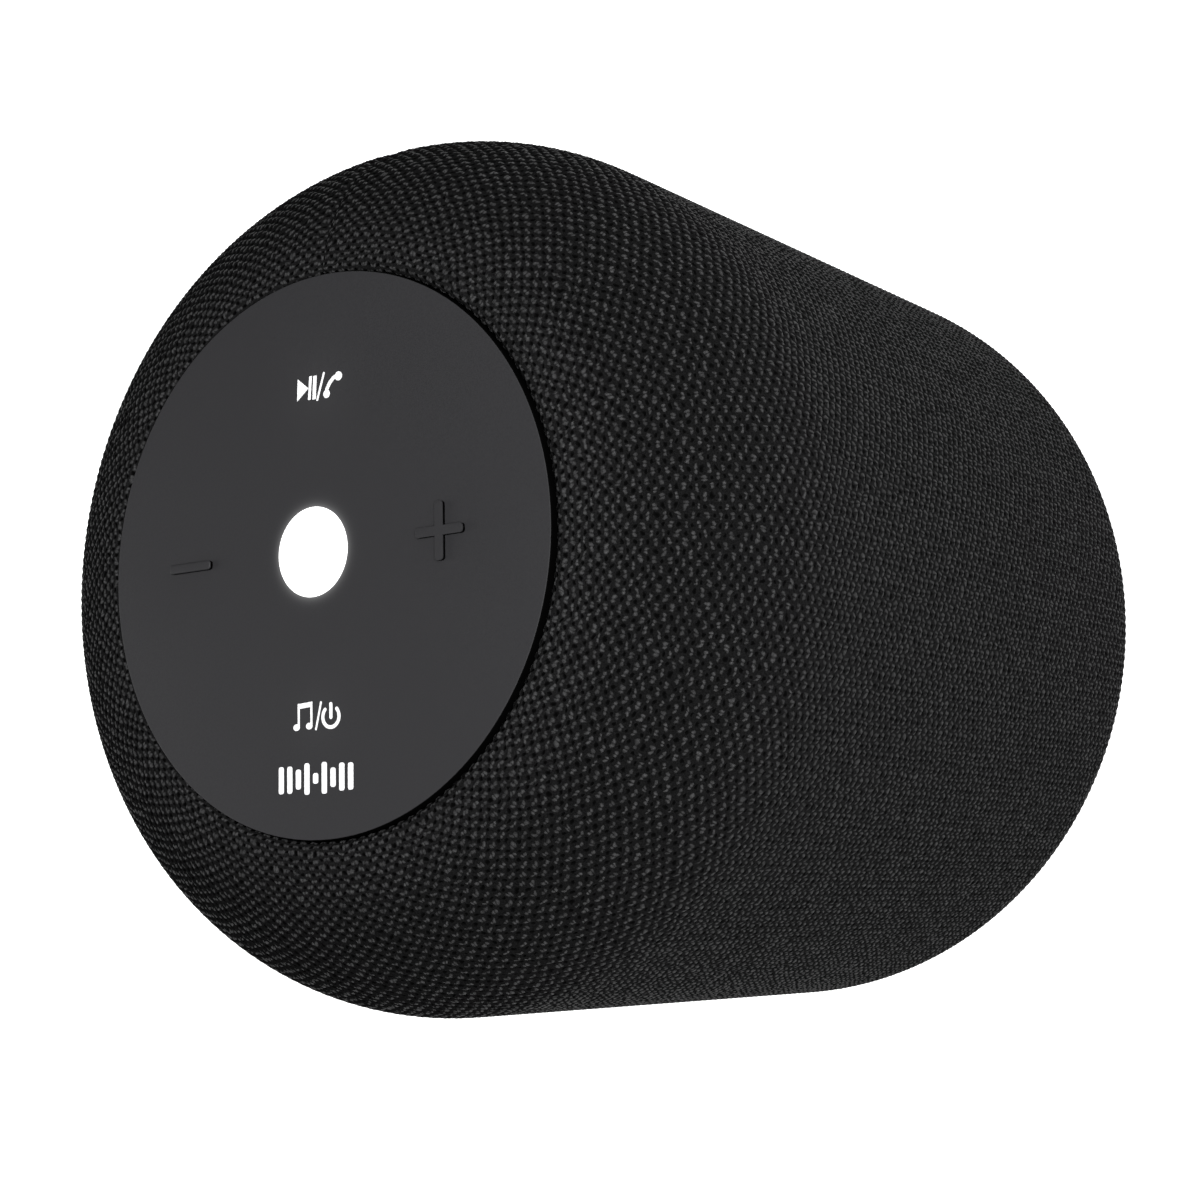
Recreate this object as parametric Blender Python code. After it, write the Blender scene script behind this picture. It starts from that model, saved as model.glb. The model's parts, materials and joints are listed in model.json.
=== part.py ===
"""A cloth-covered cylindrical smart speaker that stands upright on a rubber foot ring.

Row frame: metres, +Z up, origin at the centre of the footprint. The control panel faces +Z,
the front of the panel faces -Y, and the ports are at the back, +Y. All lengths below are in
millimetres and are multiplied by MM where a mesh is made.
"""

import math

import bmesh
import bpy
from mathutils import Matrix, Vector

MM = 0.001

# ---- driving dimensions ----
BODY_R = 50.0          # outside of the knitted cloth
TOP_Z = 117.0          # face of the control pad
CLEAR = 0.3            # gap between touching pieces
SHOULDER_R = 20.85     # shoulder ellipse, across
SHOULDER_H = 22.4      # shoulder ellipse, up
SHOULDER_Z = 94.35     # where the shoulder starts on the straight wall
CORNER_R = 18.0        # rounded lower edge
CLOTH_BASE_Z = 1.0     # lowest point of the cloth
CLOTH_T = 0.9
SHELL_T = 2.0
PAD_R = 30.7
PAD_T = 2.0
HEM_R = 31.0           # cloth turned down around the pad
HEM_LIP_R = 1.0
BASE_HEM_R = 32.4      # cloth turned up around the base plate
JOINT_Z = 20.0         # where the shell meets the bottom cup
ROUND_STEPS = 40       # around the cloth and the shell
INNER_STEPS = 24       # around the pieces inside
SMALL_STEPS = 16       # around the small ones
HOLE_STEPS = 8         # around screws and their holes

# ---- control panel ----
PANEL_X = -0.9         # centre of the lamp
PANEL_Y = 0.2
KEYS = {               # key name: centre of the key on the pad
    "play": (0.1, 18.1),
    "mode": (-0.3, -17.5),
    "plus": (16.7, 0.45),
    "minus": (-18.8, 0.35),
}
KEY_R = 5.3
KEY_TRAVEL = 0.4
SIGN_LENGTH = 6.2      # raised plus and minus signs
SIGN_WIDTH = 1.0
SIGN_H = 0.5
LENS_R = 4.9
BOARD_TOP = 110.6
BOARD_T = 1.4
BOARD_R = 27.8

# ---- ports at the back ----
PORT_Z = 31.0
PORT_HALF_H = 7.0
PORT_HALF_DEG = 19.5
FLAP_T = 1.8
FLAP_HALF_H = 5.1
FLAP_HALF_DEG = 17.4
FLAP_OUT_R = 49.8

# ---- loudspeaker chassis ----
CABINET_R = 38.5
CABINET_WALL = 2.2
CABINET_BASE_Z = 14.0
CABINET_TOP_Z = 84.0
BAFFLE_Z = 85.4
BAFFLE_T = 3.0
BAFFLE_R = 42.3
POST_PITCH_R = 33.4
POST_TOP_Z = 105.3
FRAME_FLOOR_Z = 105.6
DRIVER_PITCH_R = 26.6
BASE_PITCH_R = 28.3


# ---- small tools ----
def clear_scene():
    for thing in list(bpy.data.objects):
        bpy.data.objects.remove(thing)


def material(name, colour, roughness, metallic=0.0, glow=0.0):
    made = bpy.data.materials.new(name)
    made.use_nodes = True
    shader = made.node_tree.nodes["Principled BSDF"]
    shader.inputs["Base Color"].default_value = (*colour, 1.0)
    shader.inputs["Roughness"].default_value = roughness
    shader.inputs["Metallic"].default_value = metallic
    if glow:
        shader.inputs["Emission Color"].default_value = (1.0, 1.0, 1.0, 1.0)
        shader.inputs["Emission Strength"].default_value = glow
    return made


def place(name, mesh_maker, finish=None):
    """A new object from a bmesh in millimetres."""
    mesh_maker.transform(Matrix.Scale(MM, 4))
    bmesh.ops.recalc_face_normals(mesh_maker, faces=mesh_maker.faces)
    mesh = bpy.data.meshes.new(name)
    mesh_maker.to_mesh(mesh)
    mesh_maker.free()
    piece = bpy.data.objects.new(name, mesh)
    bpy.context.scene.collection.objects.link(piece)
    if finish is None:
        piece.hide_render = True
        piece.display_type = "WIRE"
    else:
        mesh.materials.append(finish)
        mesh.shade_smooth()
        mesh.set_sharp_from_angle(angle=math.radians(32))
    return piece


def turned_mesh(profile, steps=ROUND_STEPS, centre=(0.0, 0.0)):
    """The closed (radius, height) profile spun about the vertical through centre."""
    shape = bmesh.new()
    ring = [shape.verts.new((r, 0.0, z)) for r, z in profile]
    edges = [shape.edges.new((a, b)) for a, b in zip(ring, ring[1:] + ring[:1])]
    bmesh.ops.spin(
        shape, geom=ring + edges, cent=(0, 0, 0), axis=(0, 0, 1),
        angle=2 * math.pi, steps=steps,
    )
    bmesh.ops.remove_doubles(shape, verts=shape.verts, dist=1e-4)
    bmesh.ops.translate(shape, verts=shape.verts, vec=(*centre, 0.0))
    return shape


def turned(name, finish, profile, steps=ROUND_STEPS, centre=(0.0, 0.0)):
    return place(name, turned_mesh(profile, steps, centre), finish)


def block_mesh(low, high):
    shape = bmesh.new()
    bmesh.ops.create_cube(shape, size=1.0)
    low, high = Vector(low), Vector(high)
    bmesh.ops.scale(shape, verts=shape.verts, vec=high - low)
    bmesh.ops.translate(shape, verts=shape.verts, vec=(low + high) / 2)
    return shape


def block(name, finish, low, high):
    return place(name, block_mesh(low, high), finish)


def half_round(middle, base, across, up, points=4):
    """Half an ellipse from its inner foot to its outer foot."""
    turns = [math.pi * i / (points - 1) for i in range(points)]
    return [(middle - across * math.cos(t), base + up * math.sin(t)) for t in turns]


def rod_profile(radius, low, high):
    return [(0.0, low), (radius, low), (radius, high), (0.0, high)]


def arc_slab_mesh(r0, r1, half_deg, z0, z1, middle_deg=90.0, steps=10):
    """A block that follows the round wall, from r0 to r1."""
    shape = bmesh.new()
    sections = []
    for i in range(steps + 1):
        angle = math.radians(middle_deg + half_deg * (2 * i / steps - 1))
        c, s = math.cos(angle), math.sin(angle)
        sections.append([
            shape.verts.new((r * c, r * s, z))
            for r, z in ((r0, z0), (r1, z0), (r1, z1), (r0, z1))
        ])
    for a, b in zip(sections, sections[1:]):
        for i in range(4):
            shape.faces.new((a[i], a[(i + 1) % 4], b[(i + 1) % 4], b[i]))
    shape.faces.new(sections[0])
    shape.faces.new(reversed(sections[-1]))
    return shape


def merge(*shapes):
    """One bmesh that holds several separate shapes, for a cutter."""
    whole = bmesh.new()
    for shape in shapes:
        part = bpy.data.meshes.new("part")
        shape.to_mesh(part)
        shape.free()
        whole.from_mesh(part)
        bpy.data.meshes.remove(part)
    return whole


def combine(piece, shape, operation):
    """Cuts shape out of piece, or joins it on."""
    helper = place(f"{piece.name}_{operation.lower()}_{len(piece.modifiers)}", shape)
    step = piece.modifiers.new(operation.lower(), "BOOLEAN")
    step.operation = operation
    step.object = helper


def cut(piece, shape):
    combine(piece, shape, "DIFFERENCE")


def join(piece, *shapes):
    for shape in shapes:
        combine(piece, shape, "UNION")


def soften(piece, width, segments=2, limit_deg=50):
    step = piece.modifiers.new("edge", "BEVEL")
    step.width = width * MM
    step.segments = segments
    step.limit_method = "ANGLE"
    step.angle_limit = math.radians(limit_deg)


def hang_on(piece, *point):
    """Moves the piece's origin to a point on its joint's axis. Its shape stays where it is."""
    offset = Vector(point) * MM
    piece.data.transform(Matrix.Translation(-offset))
    piece.location = offset


def around(count, radius, first_deg=0.0, middle=(0.0, 0.0)):
    for i in range(count):
        angle = math.radians(first_deg + 360 * i / count)
        yield middle[0] + radius * math.cos(angle), middle[1] + radius * math.sin(angle)


# ---- outline of the body ----
def shoulder_z(r, inset=0.0):
    """Height of the shoulder at radius r, on the surface this far inside the cloth."""
    middle = BODY_R - SHOULDER_R
    return SHOULDER_Z + (SHOULDER_H - inset) * math.sqrt(
        max(0.0, 1 - ((r - middle) / (SHOULDER_R - inset)) ** 2)
    )


def arc_angles(step_deg, end):
    """Angles from 0 up to end. Every inset surface shares the inner ones, so facets stay parallel."""
    step = math.radians(step_deg)
    return [step * i for i in range(math.ceil(end / step))] + [end]


def shoulder(inset, inner_r):
    """The shoulder from radius inner_r out to the straight wall."""
    middle = BODY_R - SHOULDER_R
    across, up = SHOULDER_R - inset, SHOULDER_H - inset
    angles = arc_angles(18.0, math.acos((inner_r - middle) / across))
    return [
        (middle + across * math.cos(t), SHOULDER_Z + up * math.sin(t)) for t in reversed(angles)
    ]


def lower_corner(inset, inner_r):
    """The rounded lower edge from the straight wall in to radius inner_r."""
    middle, height = BODY_R - CORNER_R, CLOTH_BASE_Z + CORNER_R
    radius = CORNER_R - inset
    return [
        (middle + radius * math.cos(t), height - radius * math.sin(t))
        for t in arc_angles(30.0, math.acos((inner_r - middle) / radius))
    ]


# ---- housing ----
def make_cloth(finish):
    """One knitted sleeve, turned in around the pad and around the base plate."""
    lip = HEM_R + HEM_LIP_R
    lip_z = shoulder_z(lip) - HEM_LIP_R
    turn = math.sqrt(0.5) * HEM_LIP_R
    outer = [(HEM_R, 112.6), (HEM_R, lip_z), (lip - turn, lip_z + turn)]
    outer += shoulder(0.0, lip)
    outer += lower_corner(0.0, 33.4)
    outer += [(BASE_HEM_R, 1.6), (BASE_HEM_R, 4.2)]
    inner = [(BASE_HEM_R + CLOTH_T, 4.2), (BASE_HEM_R + CLOTH_T, 2.0)]
    inner += reversed(lower_corner(CLOTH_T, 34.0))
    inner += reversed(shoulder(CLOTH_T, lip))
    inner += [(HEM_R + CLOTH_T, 112.6)]
    sleeve = turned("fabric_sleeve", finish, outer + inner)
    cut(sleeve, arc_slab_mesh(
        46.0, 54.0, PORT_HALF_DEG + 0.4, PORT_Z - PORT_HALF_H - CLEAR, PORT_Z + PORT_HALF_H + CLEAR,
    ))
    return sleeve


def slots(rows, inner_r=40.0, outer_r=54.0, count=10, width=5.2):
    """Sound slots in rows around the shell. The ones behind the ports are left out."""
    made = []
    port_top = PORT_Z + PORT_HALF_H
    for low, high in rows:
        for i in range(count):
            angle = 4.5 + 360 * i / count
            if low < port_top and abs(angle - 90) < PORT_HALF_DEG + 8:
                continue
            shape = block_mesh((inner_r, -width / 2, low), (outer_r, width / 2, high))
            bmesh.ops.rotate(
                shape, verts=shape.verts, cent=(0, 0, 0),
                matrix=Matrix.Rotation(math.radians(angle), 3, "Z"),
            )
            made.append(shape)
    return merge(*made)


def make_shell(finish):
    inset = CLOTH_T + CLEAR
    opening = HEM_R + CLOTH_T + CLEAR
    outer = shoulder(inset, opening) + [(BODY_R - inset, JOINT_Z)]
    inner = [(BODY_R - inset - SHELL_T, JOINT_Z)]
    inner += reversed(shoulder(inset + SHELL_T, opening))
    shell = turned("grille_shell", finish, outer + inner)
    cut(shell, slots([(25, 39), (43, 57), (61, 75), (79, 92)]))
    cut(shell, slots([(96, 106)], inner_r=36.0))
    cut(shell, arc_slab_mesh(
        44.0, 54.0, PORT_HALF_DEG + 0.4, PORT_Z - PORT_HALF_H - CLEAR, PORT_Z + PORT_HALF_H + CLEAR,
    ))
    return shell


def make_bottom_cup(finish):
    inset = CLOTH_T + CLEAR
    opening = BASE_HEM_R + CLOTH_T + CLEAR
    wall = BODY_R - inset
    spigot = wall - SHELL_T - CLEAR
    outer = [(wall, JOINT_Z - CLEAR)] + lower_corner(inset, opening)
    inner = [p for p in reversed(lower_corner(inset + SHELL_T, opening)) if p[0] < spigot - 2.2]
    rim = [
        (spigot - 1.8, 11.0), (spigot - 1.8, JOINT_Z + 2.7),
        (spigot, JOINT_Z + 2.7), (spigot, JOINT_Z - CLEAR),
    ]
    return turned("bottom_cup", finish, outer + inner + rim)


def make_base(plastic, rubber, steel):
    bottom, recess = CLOTH_BASE_Z, CLOTH_BASE_Z + 1.2
    side = BASE_HEM_R - CLEAR
    plate = turned("base_plate", plastic, [
        (0, bottom), (20.3, bottom), (20.3, recess), (31.1, recess), (31.1, bottom),
        (side, bottom), (side, 4.9), (35.0, 4.9), (35.0, 6.9), (30.1, 6.9), (30.1, 5.0), (0, 5.0),
    ], INNER_STEPS)
    holes = []
    for x, y in around(4, BASE_PITCH_R, 45):
        join(plate, turned_mesh(rod_profile(3.4, 4.4, 6.6), HOLE_STEPS, (x, y)))
        holes.append(turned_mesh(
            [(0, 1.0), (3.1, 1.0), (3.1, 4.0), (1.6, 4.0), (1.6, 8.0), (0, 8.0)], HOLE_STEPS, (x, y)
        ))
    cut(plate, merge(*holes))
    turned("foot_ring", rubber, [(20.6, 0), (30.8, 0), (30.8, 1.9), (20.6, 1.9)], INNER_STEPS)
    for i, centre in enumerate(around(4, BASE_PITCH_R, 45), 1):
        turned(f"base_screw_{i}", steel, [
            (0, 2.5), (2.7, 2.5), (2.7, 3.7), (1.2, 3.7), (1.2, 12.5), (0, 12.5),
        ], HOLE_STEPS, centre)


# ---- control panel ----
def make_top_frame(finish):
    """Carrier of the panel: a dish with a flange over the four posts."""
    floor, top = FRAME_FLOOR_Z, FRAME_FLOOR_Z + 2
    rim = PAD_R
    frame = turned("top_frame", finish, [
        (0, floor), (35.8, floor), (35.8, top), (rim, top), (rim, TOP_Z - PAD_T - CLEAR),
        (rim - 1.8, TOP_Z - PAD_T - CLEAR), (rim - 1.8, top), (0, top),
    ], INNER_STEPS)
    board_seat = BOARD_TOP - BOARD_T - CLEAR
    for centre in around(3, 23, 30):
        join(frame, turned_mesh(rod_profile(1.8, floor + 1, board_seat), HOLE_STEPS, centre))
    holes = [
        turned_mesh(rod_profile(1.6, floor - 2, top + 6), HOLE_STEPS, centre)
        for centre in around(4, POST_PITCH_R, 45)
    ]
    holes.append(block_mesh((-5.5, 25.6, floor - 2), (5.5, 28.2, top + 2)))
    cut(frame, merge(*holes))


def make_pad(rubber):
    low, face = TOP_Z - PAD_T, TOP_Z
    edge = 0.45
    pad = turned("control_pad", rubber, [
        (0, low), (PAD_R, low), (PAD_R, face - edge), (PAD_R - 0.3 * edge, face - 0.3 * edge),
        (PAD_R - edge, face), (0, face),
    ], ROUND_STEPS)
    holes = [
        turned_mesh(rod_profile(KEY_R + CLEAR, low - 2, face + 2), SMALL_STEPS, centre)
        for centre in KEYS.values()
    ]
    lens_hole = rod_profile(LENS_R + CLEAR, low - 2, face + 2)
    holes.append(turned_mesh(lens_hole, SMALL_STEPS, (PANEL_X, PANEL_Y)))
    cut(pad, merge(*holes))


def make_key(name, centre, rubber):
    """A round cap that lies flush in the pad, with its plunger stem below."""
    cap = TOP_Z - PAD_T
    key = turned(f"key_{name}", rubber, [
        (0, cap - 0.8), (2.0, cap - 0.8), (2.0, cap), (KEY_R, cap), (KEY_R, TOP_Z), (0, TOP_Z),
    ], SMALL_STEPS, centre)
    half, across = SIGN_LENGTH / 2, SIGN_WIDTH / 2
    x, y = centre
    bottom, top = TOP_Z - 0.6, TOP_Z + SIGN_H
    if name in ("plus", "minus"):
        join(key, block_mesh((x - half, y - across, bottom), (x + half, y + across, top)))
    if name == "plus":
        join(key, block_mesh((x - across, y - half, bottom), (x + across, y + half, top)))
    hang_on(key, x, y, TOP_Z)


def make_switch(name, centre, plastic, steel):
    """Tact switch on the board, and its plunger, which the key presses."""
    x, y = centre
    low, top = BOARD_TOP + CLEAR, BOARD_TOP + 2.4
    case = block(f"tact_switch_{name}", steel, (x - 3, y - 3, low), (x + 3, y + 3, top))
    cut(case, turned_mesh(rod_profile(2.1, low + 0.5, top + 2), HOLE_STEPS, centre))
    stem = rod_profile(1.7, top - 0.8, top + 0.9)
    plunger = turned(f"switch_plunger_{name}", plastic, stem, SMALL_STEPS, centre)
    hang_on(plunger, x, y, TOP_Z)


def make_panel(rubber, plastic, opal, board, steel, lamp):
    make_top_frame(plastic)
    make_pad(rubber)
    for name, centre in KEYS.items():
        make_key(name, centre, rubber)
        make_switch(name, centre, plastic, steel)
    lens_low, under = BOARD_TOP + 2.3, TOP_Z - PAD_T - CLEAR
    turned("light_lens", opal, [
        (0, lens_low), (6.4, lens_low), (6.4, under), (LENS_R, under), (LENS_R, TOP_Z), (0, TOP_Z),
    ], SMALL_STEPS, (PANEL_X, PANEL_Y))
    slab = rod_profile(BOARD_R, BOARD_TOP - BOARD_T, BOARD_TOP)
    turned("control_board", board, slab, INNER_STEPS)
    low, half = BOARD_TOP + CLEAR, 2.5
    corner = (PANEL_X - half, PANEL_Y - half, low)
    block("status_led", lamp, corner, (PANEL_X + half, PANEL_Y + half, low + 1.5))
    block("microphone", steel, (9, -12, low), (12.8, -9, low + 1.0))


# ---- loudspeaker ----
def make_cabinet(plastic, gasket):
    """Sealed box of the loudspeaker: an open can with a radiator hole in its floor."""
    r_in = CABINET_R - CABINET_WALL
    low, top = CABINET_BASE_Z, CABINET_TOP_Z
    can = turned("cabinet_body", plastic, [
        (19.5, low), (CABINET_R, low), (CABINET_R, top - 2.5), (BAFFLE_R, top - 2.5),
        (BAFFLE_R, top), (r_in, top), (r_in, low + 2.5), (19.5, low + 2.5),
    ], INNER_STEPS)
    holes = []
    for centre in around(4, BASE_PITCH_R, 45):
        join(can, turned_mesh(rod_profile(3.2, 7.2, low + 1.5), HOLE_STEPS, centre))
        holes.append(turned_mesh(rod_profile(1.5, 6.0, 13.0), HOLE_STEPS, centre))
    for side in (-1, 1):
        x0, x1 = sorted((side * 13.5, side * 16.5))
        join(can, block_mesh((x0, 34.8, 28), (x1, 38.7, 64)))
    cut(can, merge(*holes))
    turned("cabinet_gasket", gasket, [
        (r_in + 1.5, top + CLEAR), (BAFFLE_R - 0.4, top + CLEAR),
        (BAFFLE_R - 0.4, BAFFLE_Z - CLEAR), (r_in + 1.5, BAFFLE_Z - CLEAR),
    ], INNER_STEPS)


def make_baffle(finish, steel):
    low, top = BAFFLE_Z, BAFFLE_Z + BAFFLE_T
    ring = [(21.9, low), (BAFFLE_R, low), (BAFFLE_R, top), (21.9, top)]
    baffle = turned("driver_baffle", finish, ring, INNER_STEPS)
    holes = [
        turned_mesh(rod_profile(1.5, low - 2, top + 2), HOLE_STEPS, centre)
        for centre in around(4, DRIVER_PITCH_R, 0)
    ]
    for centre in around(4, POST_PITCH_R, 45):
        join(baffle, turned_mesh(rod_profile(2.6, top - 1, POST_TOP_Z), HOLE_STEPS, centre))
        holes.append(turned_mesh(rod_profile(1.4, 95.0, POST_TOP_Z + 2), HOLE_STEPS, centre))
    cut(baffle, merge(*holes))
    head = FRAME_FLOOR_Z + 2 + CLEAR
    for i, centre in enumerate(around(4, POST_PITCH_R, 45), 1):
        turned(f"top_screw_{i}", steel, [
            (0, 96.0), (1.1, 96.0), (1.1, head), (2.3, head), (2.3, head + 1.2), (0, head + 1.2),
        ], HOLE_STEPS, centre)


def make_driver(plastic, steel, magnet, paper, rubber, copper):
    """The full-range driver, facing up, from its magnet to its dust cap."""
    seat = BAFFLE_Z + BAFFLE_T + CLEAR
    flange = seat + 1.5
    frame = turned("driver_frame", steel, [
        (7.6, 74.0), (16.6, 74.0), (16.6, 76.8), (21.2, 87.6), (21.2, seat), (29.0, seat),
        (29.0, flange), (19.9, flange), (19.9, 88.5), (15.0, 77.2), (15.0, 75.5), (7.6, 75.5),
    ], INNER_STEPS)
    windows = []
    for i in range(4):
        window = block_mesh((12, -4.5, 77.8), (25, 4.5, 84.0))
        bmesh.ops.rotate(
            window, verts=window.verts, cent=(0, 0, 0),
            matrix=Matrix.Rotation(math.radians(45 + 90 * i), 3, "Z"),
        )
        windows.append(window)
    windows += [
        turned_mesh(rod_profile(1.5, seat - 2, flange + 2), HOLE_STEPS, centre)
        for centre in around(4, DRIVER_PITCH_R, 0)
    ]
    cut(frame, merge(*windows))
    turned("driver_top_plate", steel, [(7.0, 70.7), (15.5, 70.7), (15.5, 73.7), (7.0, 73.7)], SMALL_STEPS)
    turned("driver_magnet", magnet, [(9.0, 64.4), (16.0, 64.4), (16.0, 70.4), (9.0, 70.4)], SMALL_STEPS)
    turned("driver_yoke", steel, [
        (0, 61.1), (15.0, 61.1), (15.0, 64.1), (5.7, 64.1), (5.7, 73.5), (0, 73.5),
    ], SMALL_STEPS)
    waves = [(6.9 + 1.26 * i, 76.5 + 0.5 * (-1) ** i) for i in range(7)]
    turned("driver_spider", paper, waves + [(r, z + 0.4) for r, z in reversed(waves)], SMALL_STEPS)
    turned("voice_coil", copper, [(6.2, 66.5), (6.5, 66.5), (6.5, 81.5), (6.2, 81.5)], SMALL_STEPS)
    turned("driver_cone", paper, [
        (6.95, 80.0), (18.9, 89.9), (18.9, 90.4), (18.3, 90.4), (6.95, 80.7),
    ], SMALL_STEPS)
    dome = [(8.4 * math.cos(t), 82.3 + 2.5 * math.sin(t)) for t in (0, 0.5, 1.0)]
    under = [(8.0 * math.cos(t), 82.3 + 2.0 * math.sin(t)) for t in (1.0, 0.5, 0)]
    turned("dust_cap", paper, dome + [(0, 84.8), (0, 84.3)] + under, SMALL_STEPS)
    roll = half_round(21.0, 90.9, 1.8, 1.9)
    inner = half_round(21.0, 90.9, 1.2, 1.3)
    edge = [(24.2, 90.9), (24.2, 90.5), (22.2, 90.5)]
    turned("driver_surround", rubber, roll + edge + inner[::-1] + [(19.2, 90.5)], SMALL_STEPS)
    for i, centre in enumerate(around(4, DRIVER_PITCH_R, 0), 1):
        turned(f"driver_screw_{i}", steel, [
            (0, 84.6), (1.1, 84.6), (1.1, flange + CLEAR), (2.1, flange + CLEAR),
            (2.1, flange + CLEAR + 1.2), (0, flange + CLEAR + 1.2),
        ], HOLE_STEPS, centre)


def make_radiator(rubber, steel):
    """Passive radiator under the cabinet floor: a weighted plate in a rubber roll."""
    low = CABINET_BASE_Z - CLEAR
    outer = half_round(19.0, low - 0.6, 2.6, -2.2)
    inner = half_round(19.0, low - 0.6, 2.0, -1.6)
    edge = [(24.0, low - 0.6), (24.0, low), (21.0, low)]
    turned("radiator_surround", rubber, outer + edge + inner[::-1] + [(16.4, low)], INNER_STEPS)
    turned("radiator_plate", steel, rod_profile(16.0, low - 0.8, low + 0.9), INNER_STEPS)


def make_deflector(finish):
    """Cone over the driver that turns its sound out through the shell."""
    turned("sound_deflector", finish, [
        (0, 97.4), (3, 97.8), (8, 99.6), (15, 102.2), (21, 104.2), (25.2, 105.0), (25.2, 105.3), (0, 105.3),
    ], SMALL_STEPS)


# ---- electronics ----
def make_battery(cell_finish, plastic):
    """One rechargeable cell across the cabinet, in a cradle on two feet."""
    cell = turned_mesh(rod_profile(9.2, -32.6, 32.6), SMALL_STEPS)
    turn = Matrix.Rotation(math.radians(90), 3, "Y")
    bmesh.ops.rotate(cell, verts=cell.verts, cent=(0, 0, 0), matrix=turn)
    bmesh.ops.translate(cell, verts=cell.verts, vec=(0, 0, 38))
    place("battery_cell", cell, cell_finish)
    cradle = block("battery_holder", plastic, (-30, -11, 24.5), (30, 11, 36))
    join(
        cradle,
        block_mesh((-31, -8, 16.8), (-26, 8, 26)),
        block_mesh((26, -8, 16.8), (31, 8, 26)),
    )
    groove = turned_mesh(rod_profile(9.6, -40, 40), SMALL_STEPS)
    bmesh.ops.rotate(groove, verts=groove.verts, cent=(0, 0, 0), matrix=turn)
    bmesh.ops.translate(groove, verts=groove.verts, vec=(0, 0, 38))
    cut(cradle, groove)


def make_electronics(board, steel, plastic):
    block("main_board", board, (-18, 39.0, 24), (18, 40.6, 68))
    block("wireless_module", steel, (-8, 40.9, 47), (8, 43.1, 61))
    usb = block("usb_socket", steel, (-9.6, 40.9, PORT_Z - 1.7), (-0.6, 46.8, PORT_Z + 1.7))
    soften(usb, 1.2, 2)
    cut(usb, block_mesh((-8.9, 42.0, PORT_Z - 1.2), (-1.3, 50.0, PORT_Z + 1.2)))
    jack = block("aux_jack", plastic, (3.2, 40.9, PORT_Z - 3.3), (9.8, 46.8, PORT_Z + 3.3))
    bore = turned_mesh(rod_profile(1.8, 42.0, 50.0), 16)
    bmesh.ops.rotate(
        bore, verts=bore.verts, cent=(0, 0, 0), matrix=Matrix.Rotation(math.radians(-90), 3, "X")
    )
    bmesh.ops.translate(bore, verts=bore.verts, vec=(6.5, 0, PORT_Z))
    cut(jack, bore)


def make_ribbon(finish):
    """Flat cable from the panel's board, through the top frame, down to the main board."""
    route = [
        (26.9, 108.7), (26.9, 105.2), (27.6, 102.0), (29.6, 99.2), (33.0, 97.2), (37.0, 95.4),
        (40.8, 92.8), (43.4, 89.0), (44.2, 84.0), (44.1, 78.0), (43.6, 73.0), (42.6, 69.0),
        (41.7, 65.6), (41.3, 63.0),
    ]
    half_t, half_w = 0.15, 4.0
    shape = bmesh.new()
    sections = []
    for i, (y, z) in enumerate(route):
        y0, z0 = route[max(i - 1, 0)]
        y1, z1 = route[min(i + 1, len(route) - 1)]
        length = math.hypot(y1 - y0, z1 - z0)
        ny, nz = -(z1 - z0) / length * half_t, (y1 - y0) / length * half_t
        sections.append([
            shape.verts.new((x, y + s * ny, z + s * nz))
            for x, s in ((-half_w, -1), (half_w, -1), (half_w, 1), (-half_w, 1))
        ])
    for a, b in zip(sections, sections[1:]):
        for i in range(4):
            shape.faces.new((a[i], a[(i + 1) % 4], b[(i + 1) % 4], b[i]))
    shape.faces.new(sections[0])
    shape.faces.new(reversed(sections[-1]))
    place("control_ribbon", shape, finish)


# ---- port door ----
def make_ports(plastic, rubber):
    """Curved frame at the back with two port holes in its floor, and the door that covers them."""
    bezel = place("port_bezel", arc_slab_mesh(
        45.4, BODY_R - 0.05, PORT_HALF_DEG, PORT_Z - PORT_HALF_H, PORT_Z + PORT_HALF_H,
    ), plastic)
    pocket = arc_slab_mesh(
        FLAP_OUT_R - FLAP_T - 0.4, 54.0, FLAP_HALF_DEG + 0.4,
        PORT_Z - FLAP_HALF_H - CLEAR, PORT_Z + FLAP_HALF_H + CLEAR,
    )
    cut(bezel, pocket)
    jack_way = turned_mesh(rod_profile(4.8, 40.0, 52.0), SMALL_STEPS)
    bmesh.ops.rotate(
        jack_way, verts=jack_way.verts, cent=(0, 0, 0), matrix=Matrix.Rotation(math.radians(-90), 3, "X")
    )
    bmesh.ops.translate(jack_way, verts=jack_way.verts, vec=(6.5, 0, PORT_Z))
    usb_way = block_mesh((-10.1, 40.0, PORT_Z - 2.1), (-0.1, 52.0, PORT_Z + 2.1))
    cut(bezel, merge(jack_way, usb_way))
    flap = place("port_flap", arc_slab_mesh(
        FLAP_OUT_R - FLAP_T, FLAP_OUT_R, FLAP_HALF_DEG, PORT_Z - FLAP_HALF_H, PORT_Z + FLAP_HALF_H,
    ), rubber)
    hinge = math.radians(90 + FLAP_HALF_DEG)
    hang_on(flap, FLAP_OUT_R * math.cos(hinge), FLAP_OUT_R * math.sin(hinge), PORT_Z)


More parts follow.
